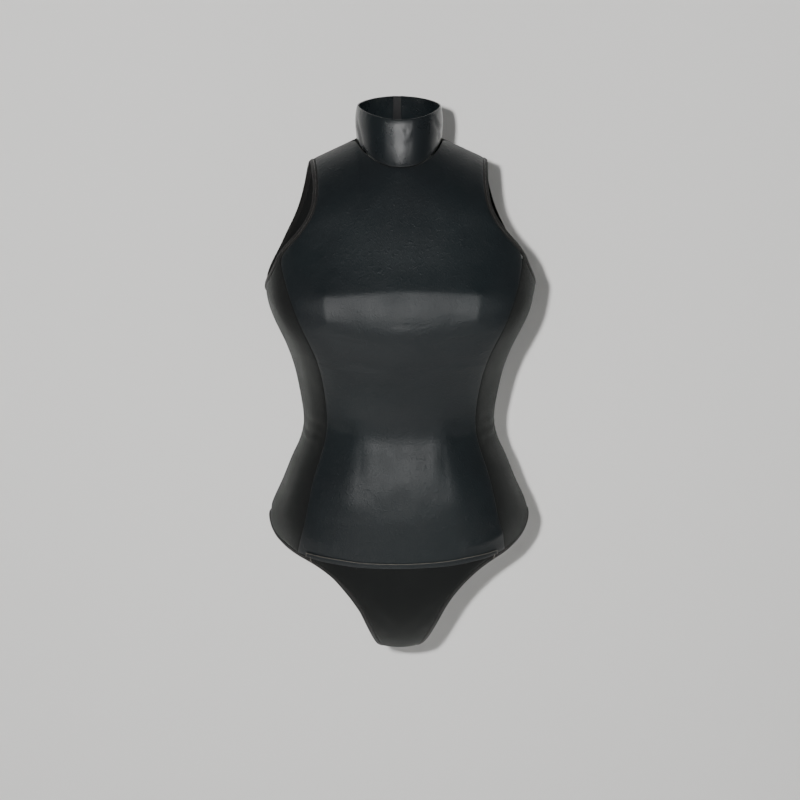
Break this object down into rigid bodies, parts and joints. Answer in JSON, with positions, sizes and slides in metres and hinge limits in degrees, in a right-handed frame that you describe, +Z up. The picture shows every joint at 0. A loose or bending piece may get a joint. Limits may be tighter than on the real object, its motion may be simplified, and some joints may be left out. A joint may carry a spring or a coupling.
{
  "type": "high-neck sleeveless bodysuit",
  "caption": "Worn, hollow stretch bodysuit with a stand collar, glossy front panel, matte sides, high-cut leg openings and a back zip with a hinged pull.",
  "frame": {"origin": "midway between the tops of the shoulders, where the wearer carries the garment", "axes": "+Z up, -Y to the wearer's front, +X to the wearer's left"},
  "size_m": [0.3228, 0.2576, 0.685],
  "materials": {
    "glossy_cloth": "wet-look coated stretch knit",
    "matte_cloth": "matte stretch knit with a soft sheen",
    "edge_elastic": "turned edge over elastic",
    "zip_coil": "woven tape with a moulded coil",
    "slider_metal": "black lacquered"
  },
  "bodies": {
    "garment": {"front_panel": "glossy_cloth", "collar": "glossy_cloth", "panel_hem": "glossy_cloth", "side_front_left": "matte_cloth", "side_front_right": "matte_cloth", "back_left": "matte_cloth", "back_right": "matte_cloth", "brief_front": "matte_cloth", "armhole_edge_left": "edge_elastic", "armhole_edge_right": "edge_elastic", "leg_edge_left": "edge_elastic", "leg_edge_right": "edge_elastic", "zip": "zip_coil", "zip_slider": "slider_metal"},
    "pull": {"zip_pull": "slider_metal"}
  },
  "joints": [
    {"name": "zip_pull_hinge", "type": "hinge", "parent": "garment", "child": "pull", "pos_m": [0, 0.05759, 0.0495], "axis": [1, 0, 0], "range_deg": [0, 150]}
  ]
}
